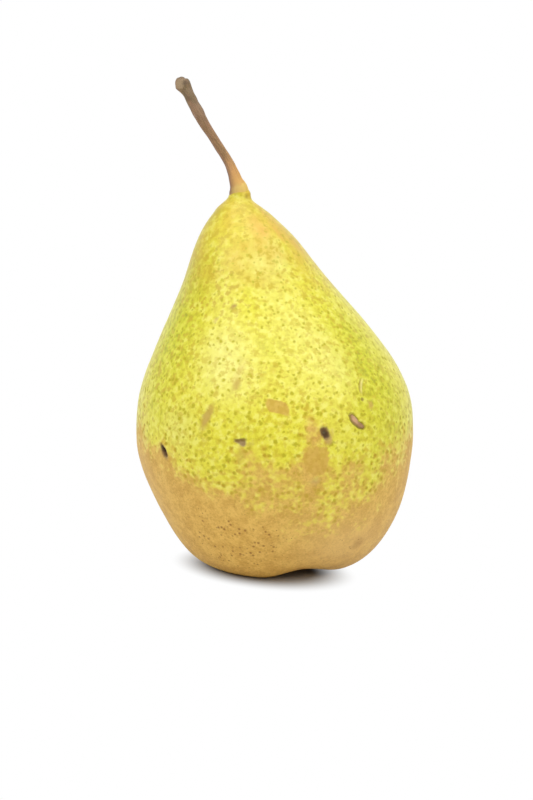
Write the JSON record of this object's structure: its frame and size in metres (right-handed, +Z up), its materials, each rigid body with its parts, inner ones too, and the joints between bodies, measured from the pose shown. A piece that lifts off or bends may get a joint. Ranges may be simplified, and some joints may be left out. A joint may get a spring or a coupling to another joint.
{
  "type": "pear",
  "caption": "Whole ripe pear with russet base, leaning neck, slim curved stem and dried calyx underneath, standing upright on its own flattened foot.",
  "frame": {"origin": "on the surface the pear stands on, under the middle of its bounding box", "axes": "+Z up through the stem, -Y the front, the stem swings over towards -X"},
  "size_m": [0.07, 0.069, 0.1225],
  "materials": {
    "skin": "thin waxy skin, green-yellow with small lenticels, russet-tan towards the base",
    "stem_bark": "matt brown bark, orange-tan and fleshy at the foot",
    "dried_calyx": "dry, dark brown, matt and wrinkled"
  },
  "bodies": {
    "root": {"fruit": "skin", "stem": "stem_bark", "calyx_cup": "dried_calyx", "sepal_1": "dried_calyx", "sepal_2": "dried_calyx", "sepal_3": "dried_calyx", "sepal_4": "dried_calyx", "sepal_5": "dried_calyx"}
  },
  "joints": []
}
